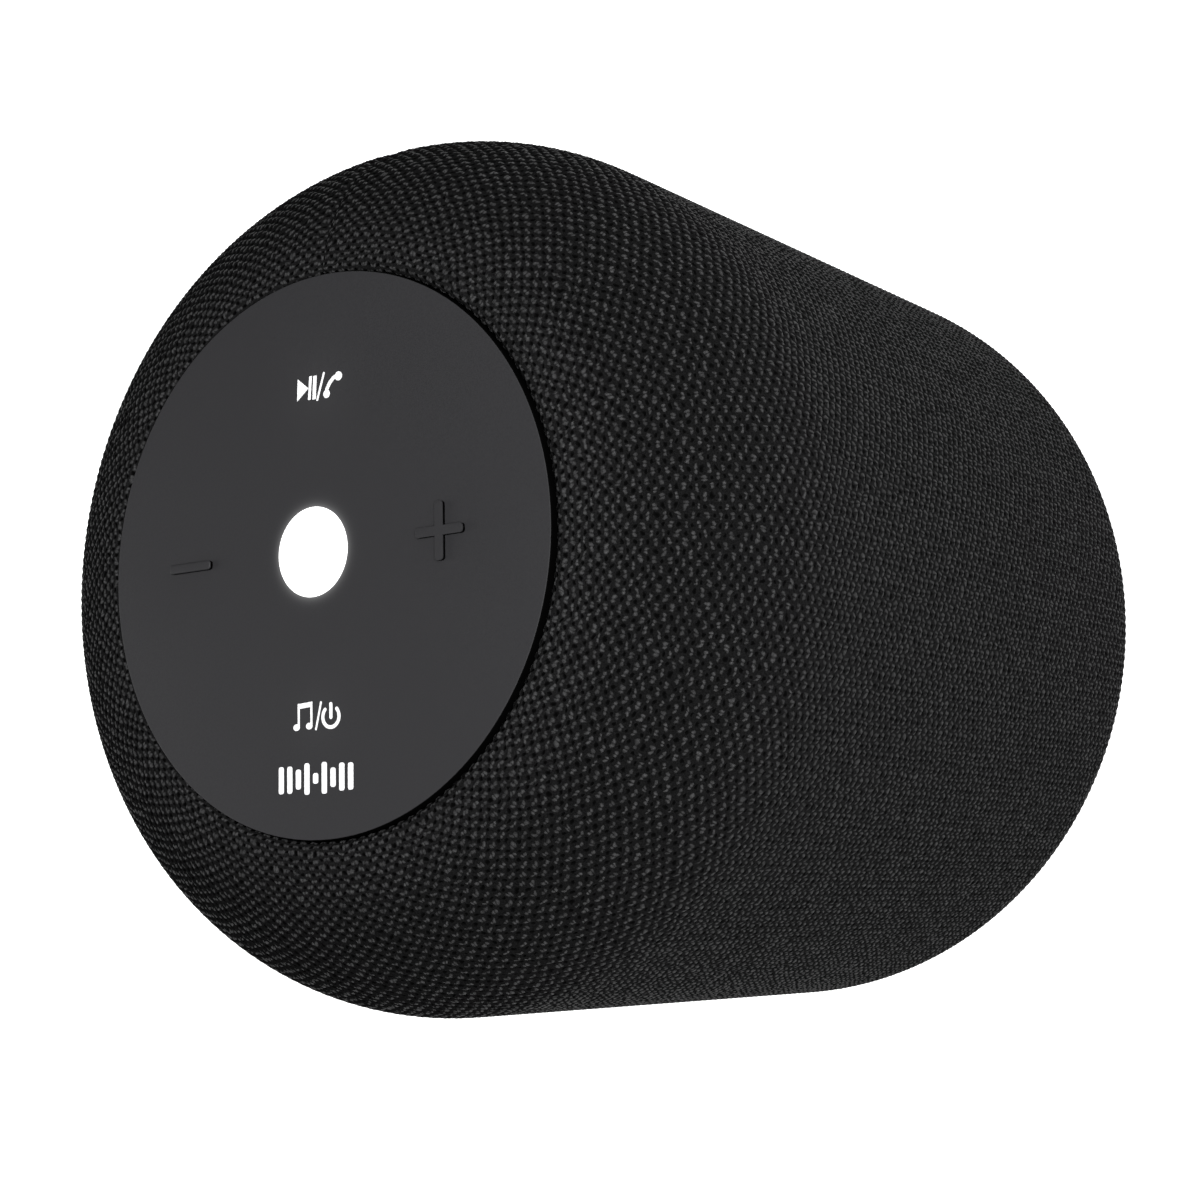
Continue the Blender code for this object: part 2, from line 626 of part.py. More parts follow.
def main():
    clear_scene()
    cloth = material("knit_cloth", (0.012, 0.012, 0.012), 0.9)
    soft_touch = material("soft_touch_rubber", (0.042, 0.042, 0.044), 0.6)
    black_plastic = material("black_plastic", (0.02, 0.02, 0.021), 0.5)
    grey_plastic = material("grey_plastic", (0.10, 0.10, 0.11), 0.5)
    foot_rubber = material("foot_rubber", (0.018, 0.018, 0.018), 0.8)
    opal = material("opal_lens", (0.95, 0.95, 0.95), 0.3, glow=4.0)
    lamp = material("led", (0.95, 0.95, 0.9), 0.3, glow=2.0)
    steel = material("steel", (0.55, 0.55, 0.56), 0.35, 1.0)
    magnet = material("ferrite", (0.06, 0.06, 0.06), 0.6)
    paper = material("cone_paper", (0.05, 0.05, 0.05), 0.85)
    copper = material("copper", (0.72, 0.40, 0.22), 0.35, 1.0)
    board = material("circuit_board", (0.02, 0.11, 0.05), 0.5)
    wrap = material("cell_wrap", (0.05, 0.16, 0.42), 0.4)
    cable = material("cable_film", (0.75, 0.70, 0.55), 0.5)

    make_cloth(cloth)
    make_shell(black_plastic)
    make_bottom_cup(black_plastic)
    make_base(black_plastic, foot_rubber, steel)
    make_panel(soft_touch, black_plastic, opal, board, steel, lamp)
    make_deflector(grey_plastic)
    make_cabinet(grey_plastic, foot_rubber)
    make_baffle(grey_plastic, steel)
    make_driver(black_plastic, steel, magnet, paper, foot_rubber, copper)
    make_radiator(foot_rubber, steel)
    make_battery(wrap, grey_plastic)
    make_electronics(board, steel, black_plastic)
    make_ribbon(cable)
    make_ports(black_plastic, foot_rubber)


main()
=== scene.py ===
"""Looks of the cloth-covered smart speaker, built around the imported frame.

Row frame: +Z up, the control pad faces +Z, the front of the pad faces -Y, the ports are at +Y.
Lengths below are in millimetres and are multiplied by MM where a mesh is made.
"""

import json
import math

import bmesh
import bpy
import numpy as np
from mathutils import Matrix, Vector


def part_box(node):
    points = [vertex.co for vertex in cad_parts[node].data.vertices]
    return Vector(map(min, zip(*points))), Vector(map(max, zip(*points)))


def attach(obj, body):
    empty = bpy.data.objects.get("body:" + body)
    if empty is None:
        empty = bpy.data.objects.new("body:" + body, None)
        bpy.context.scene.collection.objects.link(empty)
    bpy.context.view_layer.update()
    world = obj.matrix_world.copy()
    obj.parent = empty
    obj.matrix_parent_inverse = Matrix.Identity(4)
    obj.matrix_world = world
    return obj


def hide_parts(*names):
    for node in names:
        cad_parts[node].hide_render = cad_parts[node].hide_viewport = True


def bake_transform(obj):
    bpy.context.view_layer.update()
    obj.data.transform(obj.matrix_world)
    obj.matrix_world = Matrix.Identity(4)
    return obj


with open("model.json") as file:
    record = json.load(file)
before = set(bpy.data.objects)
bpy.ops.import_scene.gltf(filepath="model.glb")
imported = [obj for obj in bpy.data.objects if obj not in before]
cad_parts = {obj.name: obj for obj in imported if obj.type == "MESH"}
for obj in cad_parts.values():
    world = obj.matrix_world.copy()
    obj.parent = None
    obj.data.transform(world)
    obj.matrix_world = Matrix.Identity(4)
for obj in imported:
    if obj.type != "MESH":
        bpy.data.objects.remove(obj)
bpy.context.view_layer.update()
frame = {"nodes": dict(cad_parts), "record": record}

MM = 0.001


def centre_of(node):
    """Centre of a CAD node seen from above."""
    low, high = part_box(node)
    return tuple(round((low[i] + high[i]) / 2 / MM, 3) for i in (0, 1))


# ---- pad ----
TOP_Z = 117.0            # its face
PAD_R = 30.7
PAD_T = 2.0

# ---- outline of the cloth ----
BODY_R = 50.0
SHOULDER_R = 20.85
SHOULDER_H = 22.4
SHOULDER_Z = 94.35
CORNER_R = 18.0
CLOTH_BASE_Z = 1.0
LIP_R = 0.68             # radius of the turned-in edges
TOP_HEM_Z = 112.6        # where the upper hem ends, in the gap beside the pad
BASE_HEM_Z = 4.2
HEM_PLAIN = 1.5          # cloth at each hem without raised stitches
HEM_FADE = 3.0           # and the stretch over which they rise
SHOULDER_START_R = 31.62
CORNER_END_R = 33.3

# ---- knit ----
CELLS_AROUND = 143.5     # stitch pairs around; the half gives the mismatch at the seam
COLUMNS_PER_CELL = 4
ROWS_PER_CELL = 2
ROW_SHOULDER = 0.71      # row spacing, looser over the shoulder
ROW_BODY = 0.64
RELIEF = 0.20            # from the bottom of the holes to the crowns of the stitches
CROWN = 0.14             # how far the crowns stand out of the cloth's outline
SEAM_DEPTH = 0.32
SEAM_HALF_DEG = 0.9
SEAM_DEG = 90.0          # the sleeve is joined at the back
WALL_Z = (109.0, 90.0)   # between these heights the knit changes from shoulder to wall
HEM_ROWS = (13.0, 2.5)   # stitch pairs from the edge, where it changes from shoulder to hem

# Each pair below is the size over the shoulder, and what the wall adds to it.
LOOP_LENGTH = (0.25, 0.14)
LOOP_WIDTH = (0.225, 0.01)
LOOP_OFFSET = (0.20, 0.06)     # from the middle of a V to each of its loops
LOOP_TILT_DEG = (32.0, -6.0)
HEM_WIDTH = 0.05               # and what the hem adds to the width
HOLE_HALF_WIDTH = 0.28
HOLE_HALF_HEIGHT = 0.20
SLACK = ((560.0, 0.65), (640.0, 0.85))   # waves per metre and reach in pairs: across, then along

# Greys of the darkest and lightest strands over the shoulder, on the wall and at the hem.
GROUND_GREYS = ((0.0030, 0.0080), (0.0035, 0.0105), (0.0040, 0.0120))
YARN_GREYS = ((0.018, 0.058), (0.0085, 0.0235), (0.020, 0.066))
HOLE_GREY = 0.0014
COOL = 1.02                    # blue share of a strand's grey
DULLEST_LOOP = 0.5             # brightness of the dullest loop, from 0 to 1
FIBRES_PER_METRE = 5600.0

# ---- keys ----
KEYS = {name: centre_of(f"key_{name}") for name in ("play", "mode", "plus", "minus")}
CAP_REACH = 3.7          # from a key's centre to the sides of its stiff middle
FLEX_REACH = 5.3         # and to where the pad stops bending
FLEX_SIDES = 12
FLEX_T = 0.8
STEM_R = 2.0             # of the stem that presses the switch
STEM_H = 0.8
SIGN_LENGTH = 6.2        # of the raised plus and minus
SIGN_WIDTH = 1.0
SIGN_H = 0.5
SIGN_ROOT = 0.2          # how deep it is set into its key
SIGN_EDGE = 0.12
SIGN_SIDE_SHADE_END = (0.30, 0.36)    # above the pad's face: where the painted shade on a sign's sides starts to give way to the face grey, and where it is gone
INK_T = 0.03

# ---- lamp ----
LENS = centre_of("light_lens")
LENS_R = 4.9
LENS_FLANGE_R = 6.4

# ---- soft rings of the loudspeaker ----
RING_SECTORS = 8         # of each surround and of the spider

# ---- ports ----
PORT_Z = 31.0
PORT_HALF_H = 7.0
PORT_HALF_DEG = 19.5
PORT_COLUMNS = 32        # columns of cloth cut away on each side of the seam
PORT_GAP = 0.35          # from the cloth to the bezel
PORT_TURN_IN = 1.1       # of the cloth's cut edge
FLAP_OUT_R = 49.8
FLAP_T = 1.8
FLAP_HALF_H = 5.1
FLAP_HALF_DEG = 17.4
USB_X = -5.1
JACK_X = 6.5
SOCKET_BACK = 40.9       # depths of the sockets along +Y
SOCKET_FLOOR = 42.0
CUT_FROM = 40.0          # and of what is cut for them
CUT_TO = 52.0
BEYOND_WALL = 54.0       # radius at which a cut is clear of the wall


# ---- node tools ----
class Finish:
    """A material on one Principled shader, with short ways to add procedural detail."""

    def __init__(self, name, colour, roughness, metallic=0.0):
        self.material = bpy.data.materials.new(name)
        self.material.use_nodes = True
        self.tree = self.material.node_tree
        self.shader = self.tree.nodes["Principled BSDF"]
        self.set("Base Color", (*colour, 1.0))
        self.set("Roughness", roughness)
        self.set("Metallic", metallic)
        self.place = self.node("ShaderNodeTexCoord").outputs["Object"]

    def node(self, kind, **settings):
        """A new shader node with these settings."""
        made = self.tree.nodes.new(kind)
        for key, value in settings.items():
            setattr(made, key, value)
        return made

    def set(self, socket, value):
        """A constant or a link into the shader."""
        self.feed(self.shader.inputs[socket], value)

    def feed(self, socket, value):
        """A constant or a link into any node."""
        if isinstance(value, bpy.types.NodeSocket):
            self.tree.links.new(value, socket)
        else:
            socket.default_value = value

    def calc(self, operation, *values, clamp=False):
        """The result of one Math node, as a socket."""
        made = self.node("ShaderNodeMath", operation=operation, use_clamp=clamp)
        for socket, value in zip(made.inputs, values):
            self.feed(socket, value)
        return made.outputs[0]

    def axes(self, vector):
        """X, Y and Z of a vector, as sockets."""
        made = self.node("ShaderNodeSeparateXYZ")
        self.feed(made.inputs[0], vector)
        return made.outputs

    def oval(self, x, y, half_x, half_y):
        """0 in the middle of an oval and 1 on its edge."""
        return self.calc("ADD", *(
            self.calc("POWER", self.calc("DIVIDE", self.calc("ABSOLUTE", offset), half), 2.0)
            for offset, half in ((x, half_x), (y, half_y))
        ))

    def noise(self, scale, detail=2.0, roughness=0.5, stretch=(1, 1, 1)):
        """Noise from 0 to 1 over the object; scale is in cells per metre."""
        mapping = self.node("ShaderNodeMapping")
        mapping.inputs["Scale"].default_value = stretch
        self.feed(mapping.inputs["Vector"], self.place)
        made = self.node("ShaderNodeTexNoise")
        made.inputs["Scale"].default_value = scale
        made.inputs["Detail"].default_value = detail
        made.inputs["Roughness"].default_value = roughness
        self.feed(made.inputs["Vector"], mapping.outputs[0])
        return made.outputs["Fac"]

    def spread(self, value, low, high, out_low=0.0, out_high=1.0):
        """Maps low..high to out_low..out_high with smooth ends."""
        made = self.node("ShaderNodeMapRange", interpolation_type="SMOOTHSTEP")
        for socket, number in zip(made.inputs[1:5], (low, high, out_low, out_high)):
            socket.default_value = number
        self.feed(made.inputs[0], value)
        return made.outputs[0]

    def mix(self, share, first, second):
        """Colour between first and second; each is a colour or a socket."""
        made = self.node("ShaderNodeMix", data_type="RGBA")
        sockets = [s for s in made.inputs if s.enabled]
        self.feed(sockets[0], share)
        for socket, value in zip(sockets[1:], (first, second)):
            self.feed(socket, value if isinstance(value, bpy.types.NodeSocket) else (*value, 1.0))
        return next(s for s in made.outputs if s.enabled)

    def bump(self, height, depth):
        """Height from 0 to 1 becomes a relief of this depth."""
        made = self.node("ShaderNodeBump")
        made.inputs["Strength"].default_value = 1.0
        made.inputs["Distance"].default_value = depth * MM
        self.feed(made.inputs["Height"], height)
        self.set("Normal", made.outputs[0])


def moulded(name, colour, roughness, grain=2600.0, depth=0.03, vary=0.18, metallic=0.0, stretch=(1, 1, 1)):
    """A moulded, cast or pressed surface: fine grain, slow colour drift and uneven gloss."""
    made = Finish(name, colour, roughness, metallic)
    drift = made.noise(90.0, 3.0)
    fine = made.noise(grain, 2.0, 0.6, stretch)
    dark = tuple(c * (1 - vary) for c in colour)
    light = tuple(c * (1 + vary) for c in colour)
    both = made.calc("ADD", made.calc("MULTIPLY", drift, 0.6), made.calc("MULTIPLY", fine, 0.4))
    made.set("Base Color", made.mix(made.spread(both, 0.3, 0.7), dark, light))
    made.set("Roughness", made.spread(fine, 0.25, 0.75, roughness * 0.88, min(1.0, roughness * 1.12)))
    made.bump(fine, depth)
    return made


def make_knit():
    """Black knit: two staggered sets of V-shaped loops over a dark ground with holes between them.

    The knit map counts stitch pairs: around the body across, away from the pad along.
    """
    made = Finish("knit_cloth", (0.02, 0.02, 0.02), 0.8)
    x_place, y_place, z_place = made.axes(made.place)
    knit = made.axes(made.node("ShaderNodeUVMap", uv_map="knit").outputs[0])
    wall = made.spread(z_place, *(z * MM for z in WALL_Z))
    hem = made.calc("POWER", made.spread(knit["Y"], *HEM_ROWS), 1.5)

    def eased(over_shoulder, wall_adds):
        return made.calc("MULTIPLY_ADD", wall, wall_adds, over_shoulder)

    radius = made.calc("SQRT", made.oval(x_place, y_place, 1.0, 1.0))
    cell_width = made.calc("MULTIPLY", radius, 2 * math.pi / CELLS_AROUND / MM)
    cell_height = eased(ROWS_PER_CELL * ROW_SHOULDER, ROWS_PER_CELL * (ROW_BODY - ROW_SHOULDER))
    slack = [
        made.calc("MULTIPLY", made.calc("SUBTRACT", made.noise(scale, 3.0), 0.5), reach)
        for scale, reach in SLACK
    ]
    tilt = eased(*(math.radians(degrees) for degrees in LOOP_TILT_DEG))
    sine, cosine = made.calc("SINE", tilt), made.calc("COSINE", tilt)
    length = eased(*LOOP_LENGTH)
    width = made.calc("ADD", eased(*LOOP_WIDTH), made.calc("MULTIPLY", hem, HEM_WIDTH))
    offset = eased(*LOOP_OFFSET)
    lobes = []
    holes = []
    for shift in (0.0, 0.5):
        cell, index = [], []
        for socket, size, loose in zip(knit, (cell_width, cell_height), slack):
            moved = made.calc("ADD", made.calc("ADD", socket, loose), shift + 0.5)
            index.append(made.calc("FLOOR", moved))
            centred = made.calc("SUBTRACT", made.calc("FRACT", moved), 0.5)
            cell.append(made.calc("MULTIPLY", centred, size))
        x = made.calc("SUBTRACT", made.calc("ABSOLUTE", cell[0]), offset)
        y = cell[1]
        along = made.calc("SUBTRACT", made.calc("MULTIPLY", x, sine), made.calc("MULTIPLY", y, cosine))
        across = made.calc("ADD", made.calc("MULTIPLY", x, cosine), made.calc("MULTIPLY", y, sine))
        picked = made.node("ShaderNodeCombineXYZ")
        made.feed(picked.inputs[0], index[0])
        made.feed(picked.inputs[1], index[1])
        picked.inputs[2].default_value = shift
        chance = made.node("ShaderNodeTexWhiteNoise", noise_dimensions="3D")
        made.feed(chance.inputs["Vector"], picked.outputs[0])
        bright = made.calc("MULTIPLY_ADD", chance.outputs["Value"], 1 - DULLEST_LOOP, DULLEST_LOOP)
        loop = made.calc("SUBTRACT", 1.0, made.oval(along, across, length, width), clamp=True)
        lobes.append(made.calc("MULTIPLY", loop, bright))
        side = made.calc("SUBTRACT", made.calc("MULTIPLY", cell_width, 0.5), made.calc("ABSOLUTE", cell[0]))
        hollow = made.oval(side, y, HOLE_HALF_WIDTH, HOLE_HALF_HEIGHT)
        holes.append(made.calc("SUBTRACT", 1.0, hollow, clamp=True))
    lobe = made.calc("MAXIMUM", *lobes)
    hole = made.calc("MAXIMUM", *holes)

    fibre = made.noise(FIBRES_PER_METRE, 3.0, 0.7)
    strand = made.spread(fibre, 0.28, 0.72)

    def strands(greys):
        shoulder, body, edge = (made.mix(strand, *((g, g, g * COOL) for g in pair)) for pair in greys)
        return made.mix(hem, made.mix(wall, shoulder, body), edge)

    cloth = made.mix(made.calc("POWER", lobe, 0.95), strands(GROUND_GREYS), strands(YARN_GREYS))
    openness = made.calc("MULTIPLY", made.calc("POWER", hole, 0.5), eased(1.0, -0.1))
    made.set("Base Color", made.mix(openness, cloth, (HOLE_GREY, HOLE_GREY, HOLE_GREY)))
    made.set("Roughness", made.spread(fibre, 0.2, 0.8, 0.55, 0.9))
    made.set("Specular IOR Level", made.calc("MULTIPLY", lobe, 0.14))
    made.set("Sheen Weight", made.calc("MULTIPLY", lobe, 0.02))
    raised = made.calc("MULTIPLY_ADD", fibre, 0.35, made.calc("SUBTRACT", lobe, hole))
    made.bump(raised, 0.12)
    return made


def glow_near(made, centre, radius, reach, strength):
    """Light that bleeds through the rubber around a lit round spot on the pad."""
    offset = made.node("ShaderNodeVectorMath", operation="DISTANCE")
    made.feed(offset.inputs[0], made.place)
    offset.inputs[1].default_value = (centre[0] * MM, centre[1] * MM, TOP_Z * MM)
    beyond = made.calc("DIVIDE", made.calc("SUBTRACT", offset.outputs["Value"], radius * MM), -reach * MM)
    faded = made.calc("EXPONENT", made.calc("MINIMUM", beyond, 0.0))
    return made.calc("MULTIPLY", faded, strength)


def make_soft_touch():
    """Soft-touch coating on the pad's faces and the tops of its signs, a near-black grey on the sides that
    is painted shade, and light bleeding out around lit spots."""
    # The second grey is painted shade, given to the sides of the pad, its keys and its signs.
    face, side_shade_grey, grain = (0.0198, 0.0195, 0.0212), (0.0012, 0.0012, 0.0012), 5200.0
    made = moulded("soft_touch_rubber", face, 0.62, grain=grain, depth=0.008, vary=0.05)
    facing = made.axes(made.node("ShaderNodeTexCoord").outputs["Normal"])["Z"]
    height = made.axes(made.place)["Z"]
    # Faces that look up and the top band of each sign keep the face grey and its shine; all other sides get
    # the painted shade, without shine.
    sign_top = made.spread(height, *((TOP_Z + up) * MM for up in SIGN_SIDE_SHADE_END))
    face_share = made.calc("MAXIMUM", made.spread(facing, 0.75, 0.95), sign_top)
    colour = made.mix(made.noise(grain), tuple(0.95 * c for c in face), tuple(1.05 * c for c in face))
    made.set("Base Color", made.mix(face_share, side_shade_grey, colour))
    made.set("Specular IOR Level", made.calc("MULTIPLY", face_share, 0.3))
    made.set("Emission Color", (1.0, 1.0, 1.0, 1.0))
    lamp = glow_near(made, LENS, LENS_R, 0.36, 0.13)
    symbols = [glow_near(made, KEYS[name], 2.2, 2.2, 0.0045) for name in ("play", "mode")]
    made.set("Emission Strength", made.calc("ADD", lamp, made.calc("ADD", *symbols)))
    return made


def make_ink():
    """White print, faintly lit from behind."""
    made = moulded("white_print", (0.82, 0.82, 0.83), 0.5, grain=3000.0, depth=0.004, vary=0.03)
    made.set("Emission Color", (1.0, 1.0, 1.0, 1.0))
    made.set("Emission Strength", made.spread(made.noise(1500.0), 0.2, 0.8, 0.10, 0.16))
    return made


def make_lamp():
    """Lit opal lens: brightest in the middle, very slightly dimmer at its rim."""
    made = moulded("opal_lens", (0.93, 0.93, 0.93), 0.3, grain=1500.0, depth=0.003, vary=0.02)
    made.set("Emission Color", (1.0, 1.0, 1.0, 1.0))
    made.set("Emission Strength", made.calc("ADD", glow_near(made, LENS, 3.9, 3.0, 0.7), 0.5))
    return made


def make_windings():
    """Enamelled copper wire, wound in rings."""
    made = moulded("copper_winding", (0.62, 0.28, 0.12), 0.32, grain=2000.0, depth=0.01, metallic=1.0)
    wave = made.node("ShaderNodeTexWave", bands_direction="Z")
    wave.inputs["Scale"].default_value = 900.0
    made.feed(wave.inputs["Vector"], made.place)
    made.bump(wave.outputs["Fac"], 0.05)
    return made


def make_board():
    """Green solder mask with tracks and pads."""
    made = moulded("circuit_board", (0.012, 0.09, 0.035), 0.38, grain=1800.0, depth=0.01, vary=0.1)
    bricks = made.node("ShaderNodeTexBrick")
    bricks.inputs["Scale"].default_value = 420.0
    bricks.inputs["Mortar Size"].default_value = 0.06
    bricks.inputs["Color1"].default_value = (0.010, 0.075, 0.030, 1.0)
    bricks.inputs["Color2"].default_value = (0.016, 0.105, 0.042, 1.0)
    bricks.inputs["Mortar"].default_value = (0.05, 0.20, 0.08, 1.0)
    made.feed(bricks.inputs["Vector"], made.place)
    made.set("Base Color", bricks.outputs["Color"])
    return made


def make_cable_film():
    """Flat cable: tinned conductors side by side under a clear film."""
    made = moulded("cable_film", (0.70, 0.66, 0.52), 0.35, grain=1800.0, depth=0.01, vary=0.05)
    wave = made.node("ShaderNodeTexWave", bands_direction="X")
    wave.inputs["Scale"].default_value = 160.0
    made.feed(wave.inputs["Vector"], made.place)
    made.set("Base Color", made.mix(wave.outputs["Fac"], (0.72, 0.69, 0.58), (0.42, 0.42, 0.42)))
    return made


def make_floor_finish():
    """Pale studio floor, lifted a little so that it reads as the white sweep of a product shot."""
    made = moulded("studio_floor", (0.60, 0.60, 0.60), 0.9, grain=40.0, depth=0.02, vary=0.01)
    made.set("Emission Color", (1.0, 1.0, 1.0, 1.0))
    made.set("Emission Strength", 0.95)
    return made


# ---- mesh tools ----
def new_object(name, mesh, finish):
    """Puts the mesh in the scene with its finish."""
    piece = bpy.data.objects.new(name, mesh)
    bpy.context.scene.collection.objects.link(piece)
    mesh.materials.append(finish.material)
    return piece


def from_bmesh(name, shape, finish, smooth_deg=40.0):
    """A new object from a bmesh in millimetres."""
    shape.transform(Matrix.Scale(MM, 4))
    bmesh.ops.recalc_face_normals(shape, faces=shape.faces)
    mesh = bpy.data.meshes.new(name)
    shape.to_mesh(mesh)
    shape.free()
    mesh.shade_smooth()
    mesh.set_sharp_from_angle(angle=math.radians(smooth_deg))
    return new_object(name, mesh, finish)


def settle(piece, body, stands_for=()):
    """Makes the piece ride on a body and hides the CAD nodes it stands for."""
    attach(piece, body)
    if stands_for:
        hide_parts(*stands_for)
    return piece


def applied(piece):
    """Replaces the piece's mesh with what its modifiers make of it."""
    depsgraph = bpy.context.evaluated_depsgraph_get()
    mesh = bpy.data.meshes.new_from_object(piece.evaluated_get(depsgraph))
    piece.modifiers.clear()
    piece.data = mesh
    return piece


def arc(centre, radius, first_deg, last_deg, points, squeeze=1.0):
    """Points on an arc from first_deg to last_deg, ends included; squeeze scales its height."""
    turns = [math.radians(first_deg + (last_deg - first_deg) * i / (points - 1)) for i in range(points)]
    return [(centre[0] + radius * math.cos(t), centre[1] + radius * squeeze * math.sin(t)) for t in turns]


def spin(profile, steps=128, centre=(0.0, 0.0), closed=True):
    """The (radius, height) profile turned about the vertical through centre."""
    shape = bmesh.new()
    ring = [shape.verts.new((r, 0.0, z)) for r, z in profile]
    ends = ring[1:] + ring[:1] if closed else ring[1:]
    edges = [shape.edges.new(pair) for pair in zip(ring, ends)]
    bmesh.ops.spin(
        shape, geom=ring + edges, cent=(0, 0, 0), axis=(0, 0, 1), angle=2 * math.pi, steps=steps
    )
    bmesh.ops.remove_doubles(shape, verts=shape.verts, dist=0.003)
    bmesh.ops.translate(shape, verts=shape.verts, vec=(*centre, 0.0))
    return shape


def bridge(shape, rings):
    """Faces between rings of corners, one after another, with flat ends."""
    count = len(rings[0])
    for a, b in zip(rings, rings[1:]):
        for i in range(count):
            j = (i + 1) % count
            shape.faces.new((a[i], a[j], b[j], b[i]))
    shape.faces.new(reversed(rings[0]))
    shape.faces.new(rings[-1])
    return shape


def prism(outline, low, high):
    """The closed outline, raised from low to high, with flat ends."""
    shape = bmesh.new()
    return bridge(shape, [[shape.verts.new((x, y, z)) for x, y in outline] for z in (low, high)])


def sector(section, first_deg, last_deg, steps=5):
    """The closed (radius, height) section, turned part of the way round, with flat ends."""
    shape = bmesh.new()
    rings = []
    for i in range(steps + 1):
        t = math.radians(first_deg + (last_deg - first_deg) * i / steps)
        rings.append([shape.verts.new((r * math.cos(t), r * math.sin(t), z)) for r, z in section])
    return bridge(shape, rings)


def wedge(half_deg, inner, outer, low, high, across=40, rounding=0.0, middle_deg=SEAM_DEG):
    """A block that follows the round wall, with its outer face's edges rounded off."""
    corner = min(rounding, (high - low) / 2 - 0.01)
    end_deg = math.degrees(corner / outer)
    section = [(inner, low), (outer, low), (outer, high), (inner, high)]
    stops = [-half_deg + 2 * half_deg * i / across for i in range(across + 1)]
    if corner:
        section[1:3] = arc((outer - corner, low + corner), corner, -90, 0, 5)
        section[-1:-1] = arc((outer - corner, high - corner), corner, 0, 90, 5)
        ends = [half_deg - end_deg * share for share in (0, 0.15, 0.5)]
        between = [stop for stop in stops if abs(stop) < half_deg - end_deg]
        stops = [-stop for stop in ends] + between + ends[::-1]
    shape = bmesh.new()
    rings = []
    for stop in stops:
        past = max(0.0, abs(stop) - (half_deg - end_deg)) / max(end_deg, 1e-9)
        drop = corner * (1 - math.sqrt(max(0.0, 1 - past * past)))
        angle = math.radians(middle_deg + stop)
        ring = []
        for radius, z in section:
            kept = min(radius, outer - drop) if radius > inner + 1e-6 else radius
            ring.append(shape.verts.new((kept * math.cos(angle), kept * math.sin(angle), z)))
        rings.append(ring)
    return bridge(shape, rings)


def cut(piece, *shapes):
    """Cuts the shapes out of the piece and applies the result."""
    helpers = []
    for i, shape in enumerate(shapes):
        shape.transform(Matrix.Scale(MM, 4))
        bmesh.ops.recalc_face_normals(shape, faces=shape.faces)
        mesh = bpy.data.meshes.new(f"{piece.name}_cut_{i}")
        shape.to_mesh(mesh)
        shape.free()
        helper = bpy.data.objects.new(mesh.name, mesh)
        bpy.context.scene.collection.objects.link(helper)
        step = piece.modifiers.new("cut", "BOOLEAN")
        step.operation = "DIFFERENCE"
        step.object = helper
        helpers.append(helper)
    bpy.context.view_layer.update()
    applied(piece)
    for helper in helpers:
        bpy.data.objects.remove(helper)
    piece.data.shade_smooth()
    piece.data.set_sharp_from_angle(angle=math.radians(30))
    return piece


def soften(piece, width, segments, limit_deg):
    """Bevels the edges where the surface turns by more than limit_deg."""
    step = piece.modifiers.new("edge", "BEVEL")
    step.width = width * MM
    step.segments = segments
    step.limit_method = "ANGLE"
    step.angle_limit = math.radians(limit_deg)
    return applied(piece)


# ---- cloth ----
def sleeve_line():
    """Fine (radius, height) line of the cloth, from the hem beside the pad to the hem beside the base."""
    centre_r = BODY_R - SHOULDER_R
    start = math.acos((SHOULDER_START_R - centre_r) / SHOULDER_R)
    start_z = SHOULDER_Z + SHOULDER_H * math.sin(start)
    slope = math.atan2(SHOULDER_H * math.cos(start), SHOULDER_R * math.sin(start))
    lip = (SHOULDER_START_R - LIP_R * math.sin(slope), start_z - LIP_R * math.cos(slope))
    line = [(lip[0] - LIP_R, TOP_HEM_Z)]
    line += arc(lip, LIP_R, 180, 90 - math.degrees(slope), 24)
    line += [
        (centre_r + SHOULDER_R * math.cos(t), SHOULDER_Z + SHOULDER_H * math.sin(t))
        for t in np.linspace(start, 0, 400)[1:]
    ]
    corner = (BODY_R - CORNER_R, CLOTH_BASE_Z + CORNER_R)
    end = math.degrees(math.acos((CORNER_END_R - corner[0]) / CORNER_R))
    line += arc(corner, CORNER_R, 0, -end, 240)
    low = line[-1]
    inward = math.radians(end)
    tuck = (low[0] - LIP_R * math.cos(inward), low[1] + LIP_R * math.sin(inward))
    line += arc(tuck, LIP_R, -end, -180, 24)[1:]
    line.append((tuck[0] - LIP_R, BASE_HEM_Z))
    return np.array(line)


def knit_rows(line):
    """Heights, radii and outward normals of the knit's rows, which are looser over the shoulder."""
    run = np.concatenate([[0.0], np.cumsum(np.hypot(*np.diff(line, axis=0).T))])
    fine = np.linspace(0, run[-1], 6000)
    height = np.interp(fine, run, line[:, 1])
    ease = np.clip((SHOULDER_Z + 8 - height) / 12, 0, 1)
    spacing = ROW_SHOULDER + (ROW_BODY - ROW_SHOULDER) * ease * ease * (3 - 2 * ease)
    rows = np.concatenate([[0.0], np.cumsum(np.diff(fine) / spacing[1:])])
    count = int(rows[-1])
    at = np.interp(np.arange(count + 1) * rows[-1] / count, rows, fine)
    radius = np.interp(at, run, line[:, 0])
    z = np.interp(at, run, line[:, 1])
    along_r, along_z = np.gradient(radius), np.gradient(z)
    size = np.hypot(along_r, along_z)
    return radius, z, -along_z / size, along_r / size, at


